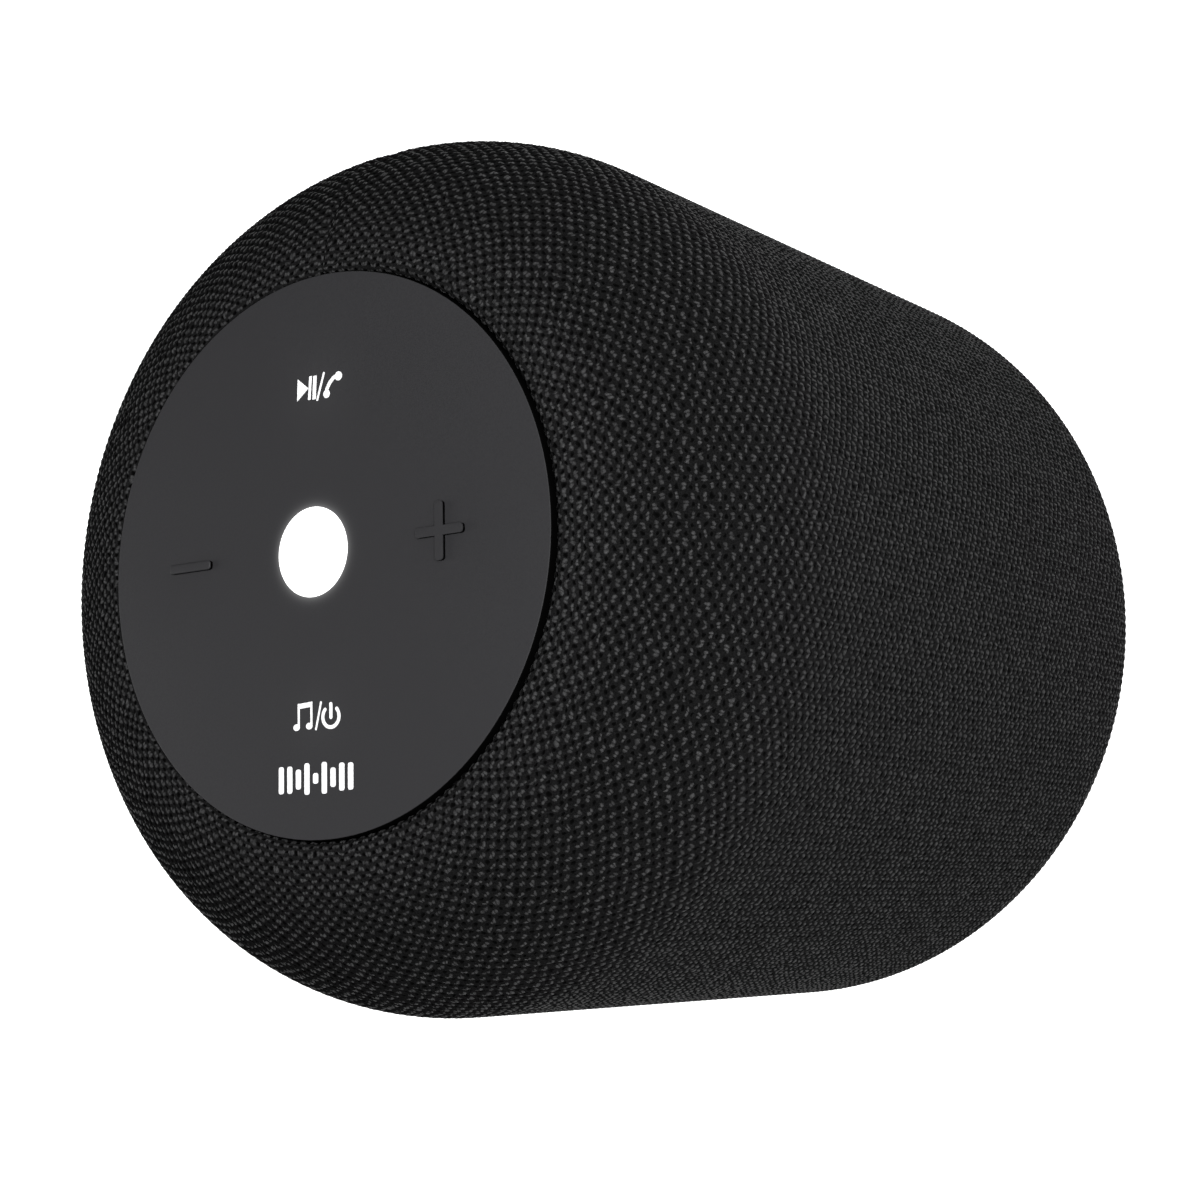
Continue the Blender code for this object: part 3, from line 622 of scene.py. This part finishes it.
def stitch_points(radius, z, normal_r, normal_z, at, columns):
    """Places of the knit's points, in rows from pad to base and in columns around from the seam."""
    turn = np.radians(SEAM_DEG) + 2 * np.pi * np.arange(columns) / columns
    across = 2 * np.pi * np.arange(columns)[None, :] / COLUMNS_PER_CELL
    down = 2 * np.pi * np.arange(len(radius))[:, None] / ROWS_PER_CELL
    stitch = 0.5 + 0.5 * np.cos(across) * np.cos(down)
    away = np.degrees(np.minimum(turn - turn[0], 2 * np.pi - (turn - turn[0])))
    seam = np.exp(-((away / SEAM_HALF_DEG) ** 2))[None, :]
    exposed = np.clip((np.minimum(at, at[-1] - at) - HEM_PLAIN) / HEM_FADE, 0, 1)[:, None]
    depth = ((RELIEF * (1 - stitch) - CROWN) * (1 - 0.8 * seam) + SEAM_DEPTH * seam) * exposed
    r = radius[:, None] - depth * normal_r[:, None]
    height = z[:, None] - depth * normal_z[:, None]
    return np.stack([r * np.cos(turn), r * np.sin(turn), np.broadcast_to(height, r.shape)], -1)


def turn_in_port_edge(mesh):
    """Drops the points that no face uses, and turns the cloth in along its cut edge."""
    shape = bmesh.new()
    shape.from_mesh(mesh)
    bmesh.ops.delete(shape, geom=[v for v in shape.verts if not v.link_faces], context="VERTS")
    rim = [
        e for e in shape.edges
        if e.is_boundary and max(abs(v.co.z / MM - PORT_Z) for v in e.verts) < PORT_HALF_H + 2
    ]
    turned = bmesh.ops.extrude_edge_only(shape, edges=rim)["geom"]
    for vert in (g for g in turned if isinstance(g, bmesh.types.BMVert)):
        outward = Vector((vert.co.x, vert.co.y, 0)).normalized()
        vert.co -= outward * PORT_TURN_IN * MM
    bmesh.ops.recalc_face_normals(shape, faces=shape.faces)
    shape.to_mesh(mesh)
    shape.free()


def make_sleeve(finish):
    """The knitted sleeve, with each stitch raised in the mesh and a turned-in edge around the ports."""
    radius, z, normal_r, normal_z, at = knit_rows(sleeve_line())
    rows, columns = len(radius), int(CELLS_AROUND * COLUMNS_PER_CELL)
    points = stitch_points(radius, z, normal_r, normal_z, at, columns)

    port_low = np.argmin(abs(z - (PORT_Z - PORT_HALF_H - PORT_GAP)))
    port_high = np.argmin(abs(z - (PORT_Z + PORT_HALF_H + PORT_GAP)))
    mesh_rows, mesh_columns = np.meshgrid(np.arange(rows - 1), np.arange(columns), indexing="ij")
    beside = (mesh_columns < PORT_COLUMNS) | (mesh_columns >= columns - PORT_COLUMNS)
    keep = ~(beside & (mesh_rows >= port_high) & (mesh_rows < port_low))
    i, j = mesh_rows[keep], mesh_columns[keep]
    after = (j + 1) % columns
    here, next_row = i * columns, (i + 1) * columns
    faces = np.stack([here + j, next_row + j, next_row + after, here + after], -1)
    knit = np.stack([
        np.stack([(j + dj) / COLUMNS_PER_CELL, (i + di) / ROWS_PER_CELL], -1)
        for di, dj in ((0, 0), (1, 0), (1, 1), (0, 1))
    ], 1)

    mesh = bpy.data.meshes.new("knit_sleeve")
    mesh.from_pydata((points.reshape(-1, 3) * MM).tolist(), [], faces.tolist())
    layer = mesh.uv_layers.new(name="knit")
    layer.data.foreach_set("uv", knit.reshape(-1).astype(np.float32))
    turn_in_port_edge(mesh)
    mesh.shade_smooth()
    sleeve = settle(new_object("knit_sleeve", mesh, finish), "housing", ["fabric_sleeve"])


# ---- control pad ----
def polygon(centre, reach, sides=FLEX_SIDES):
    """Corners of a regular polygon whose sides lie reach away from its centre."""
    radius = reach / math.cos(math.pi / sides)
    turns = [math.pi * (2 * i + 1) / sides for i in range(sides)]
    return [(centre[0] + radius * math.cos(t), centre[1] + radius * math.sin(t)) for t in turns]


def make_pad(finish):
    """The pad's skin, less the places where it bends over a key."""
    low = TOP_Z - PAD_T
    edge = 0.2
    rim = arc((PAD_R - edge, TOP_Z - edge), edge, 0, 90, 8)
    pad = from_bmesh("pad_skin", spin([(0, low), (PAD_R, low)] + rim + [(0, TOP_Z)], 160), finish)
    holes = [prism(polygon(centre, FLEX_REACH), low - 1, TOP_Z + 1) for centre in KEYS.values()]
    holes.append(prism(arc(LENS, LENS_R - 0.02, 0, 355, 72), low - 1, TOP_Z + 1))
    cut(pad, *holes)
    settle(pad, "housing", ["control_pad"])


def make_flex(name, centre, finish):
    """The ring of skin around the key's stiff middle, in one piece for each side."""
    rows = 8
    for k in range(FLEX_SIDES):
        angle = 2 * math.pi * k / FLEX_SIDES
        out = Vector((math.cos(angle), math.sin(angle)))
        side = Vector((-out.y, out.x))
        shape = bmesh.new()
        sheets = []
        for z in (TOP_Z - FLEX_T, TOP_Z):
            lines = []
            for i in range(rows + 1):
                reach = CAP_REACH + (FLEX_REACH - CAP_REACH) * i / rows
                half = reach * math.tan(math.pi / FLEX_SIDES)
                ends = [Vector(centre) + out * reach + side * s * half for s in (-1, 1)]
                lines.append([shape.verts.new((*p, z)) for p in ends])
            sheets.append(lines)
        for lines in sheets:
            for a, b in zip(lines, lines[1:]):
                shape.faces.new((a[0], b[0], b[1], a[1]))
        below, above = sheets
        for end in (0, 1):
            for i in range(rows):
                shape.faces.new((below[i][end], below[i + 1][end], above[i + 1][end], above[i][end]))
        for i in (0, rows):
            shape.faces.new((below[i][0], below[i][1], above[i][1], above[i][0]))
        piece = from_bmesh(f"{name}_flex_{k + 1}", shape, finish, 30.0)
        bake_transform(piece)


def rounded_bar(centre, length, width, upright=False, points=6):
    """Outline of a bar with round ends."""
    half, radius = length / 2 - width * 0.35, width * 0.35
    across = width / 2 - radius
    outline = []
    for sx, sy, first in ((1, 1, 0), (-1, 1, 90), (-1, -1, 180), (1, -1, 270)):
        outline += arc((sx * half, sy * across), radius, first, first + 90, points)
    if upright:
        outline = [(-y, x) for x, y in outline]
    return [(centre[0] + x, centre[1] + y) for x, y in outline]


def make_cap(name, centre, finish):
    """Stiff middle of a key, with the stem that presses its switch."""
    low = TOP_Z - PAD_T
    cap = from_bmesh(f"{name}_cap", prism(polygon(centre, CAP_REACH), low, TOP_Z), finish, 30.0)
    settle(cap, f"{name}_key", [f"key_{name}"])
    foot = low - STEM_H
    stem = spin([(0, foot), (STEM_R, foot), (STEM_R, low), (0, low)], 32, centre)
    settle(from_bmesh(f"{name}_stem", stem, finish), f"{name}_key")


def make_sign(name, centre, finish):
    """Raised plus or minus, moulded on its key."""
    bars = [rounded_bar(centre, SIGN_LENGTH, SIGN_WIDTH)]
    if name == "plus":
        bars.append(rounded_bar(centre, SIGN_LENGTH, SIGN_WIDTH, upright=True))
    low, top = TOP_Z - SIGN_ROOT, TOP_Z + SIGN_H
    sign = from_bmesh(f"{name}_sign", prism(bars[0], low, top), finish)
    if name == "plus":
        other = from_bmesh("plus_sign_upright", prism(bars[1], low, top), finish)
        step = sign.modifiers.new("join", "BOOLEAN")
        step.operation = "UNION"
        step.object = other
        bpy.context.view_layer.update()
        applied(sign)
        bpy.data.objects.remove(other)
    soften(sign, SIGN_EDGE, 3, 50)
    sign.data.shade_smooth()
    sign.data.set_sharp_from_angle(angle=math.radians(50))
    settle(sign, f"{name}_key")


def stroke(points, width):
    """Outline of a line of one width through the points, with round ends."""
    path = [Vector(p) for p in points]
    left, right = [], []
    for i, p in enumerate(path):
        along = (path[min(i + 1, len(path) - 1)] - path[max(i - 1, 0)]).normalized()
        side = Vector((-along.y, along.x)) * width / 2
        left.append(p + side)
        right.append(p - side)
    last = math.degrees(math.atan2(*(left[-1] - path[-1]).yx))
    first = math.degrees(math.atan2(*(right[0] - path[0]).yx))
    outline = left[:-1] + [Vector(q) for q in arc(path[-1], width / 2, last, last - 180, 7)]
    outline += right[::-1][1:-1] + [Vector(q) for q in arc(path[0], width / 2, first, first - 180, 7)]
    return [tuple(q) for q in outline]


def print_on(name, outlines, body, finish):
    """Thin printed marks on the pad's face, each a little higher than the one before."""
    shape = bmesh.new()
    for i, outline in enumerate(outlines):
        part = prism(outline, TOP_Z + 0.005, TOP_Z + INK_T + 0.003 * i)
        mesh = bpy.data.meshes.new("part")
        part.to_mesh(mesh)
        part.free()
        shape.from_mesh(mesh)
        bpy.data.meshes.remove(mesh)
    settle(from_bmesh(name, shape, finish), body)


def make_play_symbol(finish):
    """A triangle, two bars, a slash and a handset."""

    def by_play(*points):
        return [(KEYS["play"][0] + x, KEYS["play"][1] + y) for x, y in points]

    print_on("play_symbol", [
        by_play((-3.2, -1.1), (-1.55, 0.15), (-3.1, 1.38)),
        by_play((-1.62, -1.15), (-1.25, -1.15), (-1.05, 1.45), (-1.42, 1.45)),
        by_play((-0.98, -1.2), (-0.5, -1.2), (-0.36, 1.4), (-0.84, 1.4)),
        stroke(by_play((-0.28, -1.32), (0.68, 1.5)), 0.25),
        stroke(by_play((1.05, -0.95), (1.1, -0.35), (1.5, 0.3), (2.1, 0.8), (2.75, 0.95)), 0.44),
        arc(by_play((1.06, -0.86))[0], 0.46, 0, 340, 18),
        arc(by_play((2.76, 0.86))[0], 0.50, 0, 340, 18),
    ], "play_key", finish)


def make_mode_symbol(finish):
    """A pair of joined music notes, a slash and a power sign."""

    def by_mode(*points):
        return [(KEYS["mode"][0] + x, KEYS["mode"][1] + y) for x, y in points]

    ring = arc((1.88, -0.18), 1.13, 136, 404, 40)
    print_on("mode_symbol", [
        stroke(by_mode((-2.67, -1.05), (-2.67, 1.35)), 0.28),
        stroke(by_mode((-0.87, -1.0), (-0.87, 1.45)), 0.28),
        by_mode((-2.81, 0.90), (-0.73, 1.05), (-0.73, 1.59), (-2.81, 1.44)),
        arc(by_mode((-2.97, -1.05))[0], 0.46, 0, 340, 18, 0.78),
        arc(by_mode((-1.17, -1.0))[0], 0.46, 0, 340, 18, 0.78),
        stroke(by_mode((-0.22, -1.40), (0.50, 1.42)), 0.23),
        stroke(by_mode(*ring), 0.40),
        stroke(by_mode((1.88, -0.25), (1.88, 1.15)), 0.40),
    ], "mode_key", finish)


def make_wave_mark(finish):
    """A row of upright bars, like a sound wave."""
    bars, width, pitch, tallest = 9, 0.72, 1.22, 3.4
    mark_x, mark_y = -0.6, -24.1
    outlines = []
    for i in range(bars):
        place = (mark_x + pitch * (i - (bars - 1) / 2), mark_y)
        height = tallest * (0.32 + 0.68 * abs(math.sin(1.35 * i + 0.9)))
        outlines.append(rounded_bar(place, height, width, upright=True))
    print_on("wave_mark", outlines, "housing", finish)


def make_lens(finish):
    """Lens with a flange under the pad and a rounded rim just above its face."""
    low, under, top = TOP_Z - 4.1, TOP_Z - PAD_T - 0.3, TOP_Z + 0.005
    neck, crown = LENS_R - 0.04, 0.05
    profile = [(0, low), (LENS_FLANGE_R, low), (LENS_FLANGE_R, under), (neck, under), (neck, top)]
    profile += [(LENS_R, top)] + arc((LENS_R - crown, top + 0.005), crown, 0, 90, 5)
    profile.append((0, top + 0.005 + crown))
    lens = from_bmesh("lamp_lens", spin(profile, 72, LENS), finish)
    settle(lens, "housing", ["light_lens"])


# ---- base ----
def make_base(plastic, rubber):
    """Base plate with a dished middle and three fine steps, and the rubber ring it stands on."""
    bottom, step, groove = CLOTH_BASE_Z, CLOTH_BASE_Z + 0.3, 2.2
    side, edge = 32.1, 0.4
    profile = [(0, bottom + 0.5), (11.5, bottom + 0.5), (11.7, step), (15.5, step), (15.7, bottom)]
    profile += [(20.0, bottom), (20.3, step), (20.3, groove), (31.1, groove), (31.1, step), (31.3, bottom)]
    profile += arc((side - edge, bottom + edge), edge, -90, 0, 5)
    profile += [(side, 4.9), (35.0, 4.9), (35.0, 6.9), (30.1, 6.9), (30.1, 5.0), (0, 5.0)]
    base = from_bmesh("base_cover", spin(profile, 128), plastic, 30.0)
    wells = []
    for screw in arc((0, 0), 28.3, 45, 315, 4):
        wells.append(prism(arc(screw, 3.1, 0, 350, 36), 1.0, 4.0))
        wells.append(prism(arc(screw, 1.6, 0, 350, 36), 3.5, 8.0))
    cut(base, *wells)
    settle(base, "housing", ["base_plate"])

    inner, outer, edge, margin, grooves = 20.6, 30.8, 0.45, 1.2, 4
    span = (outer - inner - 2 * margin) / grooves
    profile = arc((inner + edge, edge), edge, 180, 270, 5)
    for i in range(grooves):
        start = inner + margin + span * i
        profile += [(start + span * s, z) for s, z in ((0.32, 0), (0.42, 0.35), (0.58, 0.35), (0.68, 0))]
    profile += arc((outer - edge, edge), edge, 270, 360, 5) + [(outer, 1.9), (inner, 1.9)]
    foot = from_bmesh("foot_tread", spin(profile, 128), rubber, 35.0)
    settle(foot, "housing", ["foot_ring"])


# ---- ports ----
def facing_back(shape, x):
    """Turns a shape built along +Z to point along +Y, at x and the height of the ports."""
    turn = Matrix.Rotation(math.radians(-90), 3, "X")
    bmesh.ops.rotate(shape, verts=shape.verts, cent=(0, 0, 0), matrix=turn)
    bmesh.ops.translate(shape, verts=shape.verts, vec=(x, 0, PORT_Z))
    return shape


def round_outline(radius):
    """A circle around the axis."""
    return arc((0, 0), radius, 0, 352, 45)


def slot_outline(width, height, points=9):
    """A stadium: the shape of a USB-C opening."""
    radius = height / 2
    flat = width / 2 - radius
    return arc((flat, 0), radius, -90, 90, points) + arc((-flat, 0), radius, 90, 270, points)


def make_ports(plastic, rubber, steel):
    """Bezel, door, and the two sockets behind the door."""
    low, high = PORT_Z - PORT_HALF_H, PORT_Z + PORT_HALF_H
    around = wedge(PORT_HALF_DEG, 45.4, BODY_R - 0.05, low, high, rounding=0.8)
    bezel = from_bmesh("port_surround", around, plastic)
    low, high, inner = PORT_Z - FLAP_HALF_H, PORT_Z + FLAP_HALF_H, FLAP_OUT_R - FLAP_T
    pocket = wedge(FLAP_HALF_DEG + 0.35, inner - 0.4, BEYOND_WALL, low - 0.3, high + 0.3)
    jack_way = facing_back(prism(round_outline(4.4), CUT_FROM, CUT_TO), JACK_X)
    usb_way = facing_back(prism(slot_outline(10.0, 4.2), CUT_FROM, CUT_TO), USB_X)
    cut(bezel, pocket, jack_way, usb_way)
    settle(bezel, "housing", ["port_bezel"])

    panel = wedge(FLAP_HALF_DEG, inner, FLAP_OUT_R, low, high, rounding=0.6)
    door = from_bmesh("port_door_cover", panel, rubber)
    low, high, notch_deg = PORT_Z - 3.2, PORT_Z + 3.2, SEAM_DEG - FLAP_HALF_DEG + 3.4
    cut(door, wedge(1.6, FLAP_OUT_R - 0.5, BEYOND_WALL, low, high, 6, middle_deg=notch_deg))
    settle(door, "port_door", ["port_flap"])

    shell = facing_back(prism(slot_outline(8.95, 3.3), SOCKET_BACK, 46.8), USB_X)
    usb = from_bmesh("usb_shell", shell, steel)
    cut(usb, facing_back(prism(slot_outline(8.35, 2.65), SOCKET_FLOOR, CUT_TO), USB_X))
    settle(usb, "housing", ["usb_socket"])
    tongue = facing_back(prism(slot_outline(6.7, 0.7), SOCKET_FLOOR, 46.2), USB_X)
    settle(from_bmesh("usb_tongue", tongue, plastic), "housing")

    barrel = facing_back(prism(round_outline(3.2), SOCKET_BACK, 46.4), JACK_X)
    jack = from_bmesh("jack_barrel", barrel, plastic)
    cut(jack, facing_back(prism(arc((0, 0), 1.8, 0, 348, 30), SOCKET_FLOOR, CUT_TO), JACK_X))
    settle(jack, "housing", ["aux_jack"])
    ring = spin([(1.8, 46.42), (2.7, 46.42), (2.7, 46.75), (2.45, 46.95), (1.8, 46.95)], 48)
    settle(from_bmesh("jack_ring", facing_back(ring, JACK_X), steel), "housing")


# ---- soft rings of the loudspeaker ----
def make_soft_ring(node, section, finish):
    """A ring between the housing and a moving body, in one piece for each sector."""
    span = 360 / RING_SECTORS
    for k in range(RING_SECTORS):
        piece = from_bmesh(f"{node}_{k + 1}", sector(section, span * k, span * (k + 1)), finish)
        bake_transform(piece)
        if k == 0:
            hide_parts(node)


def roll_section(middle, z, outside, inside, inner_lip, outer_lip, way):
    """A half-round roll between two flat lips. It rises for way 1 and hangs down for way -1.

    A face of the roll is its half width and height; a lip is its far radius and thickness.
    """
    section = arc((middle, z), outside[0], 0, 180 * way, 13, outside[1] / outside[0])
    radius, under = inner_lip[0], z - way * inner_lip[1]
    section += [(radius, z), (radius, under), (middle - inside[0], under)]
    section += arc((middle, z), inside[0], 180 * way, 0, 13, inside[1] / inside[0])
    radius, under = outer_lip[0], z - way * outer_lip[1]
    return section + [(middle + inside[0], under), (radius, under), (radius, z)]


def make_soft_rings(paper, rubber):
    """Both surrounds and the spider."""
    roll = roll_section(21.0, 90.9, (1.8, 1.9), (1.2, 1.3), (18.4, 0.45), (24.2, 0.4), 1)
    make_soft_ring("driver_surround", roll, rubber)
    roll = roll_section(19.0, 13.1, (2.6, 2.2), (2.0, 1.6), (16.05, 0.6), (24.0, 0.6), -1)
    make_soft_ring("radiator_surround", roll, rubber)

    inner, outer, z, height, thickness, waves, steps = 6.9, 14.4, 76.5, 0.5, 0.4, 3, 48
    lower = []
    for i in range(steps + 1):
        wave = math.cos(2 * math.pi * waves * i / steps)
        lower.append((inner + (outer - inner) * i / steps, z + height * wave))
    upper = [(radius, low + thickness) for radius, low in reversed(lower)]
    make_soft_ring("driver_spider", lower + upper, paper)


# ---- carried-over pieces ----
def dress_inner(finishes):
    """Gives every CAD node its procedural finish, by material slot."""
    slots = {part["node"]: part["material_slot"] for part in frame["record"]["subparts"]}
    for name, piece in frame["nodes"].items():
        piece.data.materials.clear()
        piece.data.materials.append(finishes[slots[name]].material)


# ---- stage ----
def make_stage():
    """Floor, and a world that looks pale to the camera but lights the speaker only faintly."""
    shape = bmesh.new()
    bmesh.ops.create_circle(shape, cap_ends=True, segments=96, radius=6000.0)
    floor = from_bmesh("studio_floor", shape, make_floor_finish())

    world = bpy.data.worlds.new("studio")
    world.use_nodes = True
    tree = world.node_tree
    backdrop = tree.nodes["Background"]
    backdrop.inputs["Color"].default_value = (1.0, 1.0, 1.0, 1.0)
    seen, lit = 0.95, 0.02
    strength = tree.nodes.new("ShaderNodeMath")
    strength.operation = "MULTIPLY_ADD"
    strength.inputs[1].default_value = seen - lit
    strength.inputs[2].default_value = lit
    tree.links.new(tree.nodes.new("ShaderNodeLightPath").outputs["Is Camera Ray"], strength.inputs[0])
    tree.links.new(strength.outputs[0], backdrop.inputs["Strength"])
    bpy.context.scene.world = world
    bpy.context.scene.view_settings.view_transform = "Standard"


def make_light(name, place, aim, size, power):
    """A rectangular light at place, turned towards aim."""
    light = bpy.data.lights.new(name, "AREA")
    light.shape = "RECTANGLE"
    light.size, light.size_y = size
    light.energy = power
    lamp = bpy.data.objects.new(name, light)
    bpy.context.scene.collection.objects.link(lamp)
    lamp.location = place
    lamp.rotation_euler = (Vector(place) - Vector(aim)).to_track_quat("Z", "Y").to_euler()


def make_lights():
    """Four soft lights around the speaker; their places and sizes are in metres."""
    middle = (0.0, 0.0, 0.07)
    make_light("key", (0.45, -0.10, 0.75), middle, (0.6, 0.5), 10.9)
    make_light("side", (0.85, 0.00, 0.20), middle, (0.4, 0.9), 2.7)
    make_light("rear", (0.20, 0.85, 0.40), middle, (0.6, 0.5), 1.7)
    make_light("far", (-0.80, -0.10, 0.25), middle, (0.5, 0.7), 2.5)


def make_camera():
    """Looks down at the pad from the +X side, rolled so that the body runs away to the right."""
    aim, distance = Vector((-1.55, 0.81, 61.93)), 289.2
    azimuth, elevation, roll = (math.radians(a) for a in (75.967, 54.64, -79.69))
    flat, up = math.cos(elevation), math.sin(elevation)
    back = Vector((math.sin(azimuth) * flat, -math.cos(azimuth) * flat, up))
    right = Vector((math.cos(azimuth), math.sin(azimuth), 0.0))
    turn = Matrix((right, back.cross(right), back)).transposed() @ Matrix.Rotation(roll, 3, "Z")
    data = bpy.data.cameras.new("camera")
    data.sensor_width = 36.0
    data.lens = 68.17
    data.clip_start, data.clip_end = 0.01, 20.0
    camera = bpy.data.objects.new("camera", data)
    bpy.context.scene.collection.objects.link(camera)
    camera.matrix_world = Matrix.Translation((aim + back * distance) * MM) @ turn.to_4x4()
    bpy.context.scene.camera = camera


def main():
    """Camera, finishes, pieces and stage."""
    make_camera()
    knit = make_knit()
    skin = make_soft_touch()
    plastic = moulded("black_plastic", (0.013, 0.013, 0.0137), 0.48, grain=3200.0, depth=0.02)
    grey = moulded("grey_plastic", (0.10, 0.10, 0.11), 0.5)
    rubber = moulded("foot_rubber", (0.011, 0.011, 0.0114), 0.78, grain=3600.0, depth=0.03)
    steel = moulded(
        "steel", (0.55, 0.55, 0.56), 0.32, grain=1500.0, depth=0.01, metallic=1.0, stretch=(1, 1, 12)
    )
    opal = make_lamp()
    ink = make_ink()
    paper = moulded("cone_paper", (0.035, 0.035, 0.035), 0.85, grain=1800.0, depth=0.06, vary=0.3)
    finishes = {
        "knit_cloth": knit,
        "soft_touch_rubber": skin,
        "black_plastic": plastic,
        "grey_plastic": grey,
        "foot_rubber": rubber,
        "opal_lens": opal,
        "led": opal,
        "steel": steel,
        "ferrite": moulded("ferrite", (0.05, 0.05, 0.052), 0.6, grain=1200.0, depth=0.05),
        "cone_paper": paper,
        "copper": make_windings(),
        "circuit_board": make_board(),
        "cell_wrap": moulded("cell_wrap", (0.04, 0.14, 0.40), 0.35, grain=700.0, depth=0.02, vary=0.08),
        "cable_film": make_cable_film(),
    }
    dress_inner(finishes)
    make_sleeve(knit)
    make_pad(skin)
    for name, centre in KEYS.items():
        make_cap(name, centre, skin)
        make_flex(name, centre, skin)
    for name in ("plus", "minus"):
        make_sign(name, KEYS[name], skin)
    make_play_symbol(ink)
    make_mode_symbol(ink)
    make_wave_mark(ink)
    make_lens(opal)
    make_base(plastic, rubber)
    make_ports(plastic, rubber, steel)
    make_soft_rings(paper, rubber)
    make_stage()
    make_lights()


main()
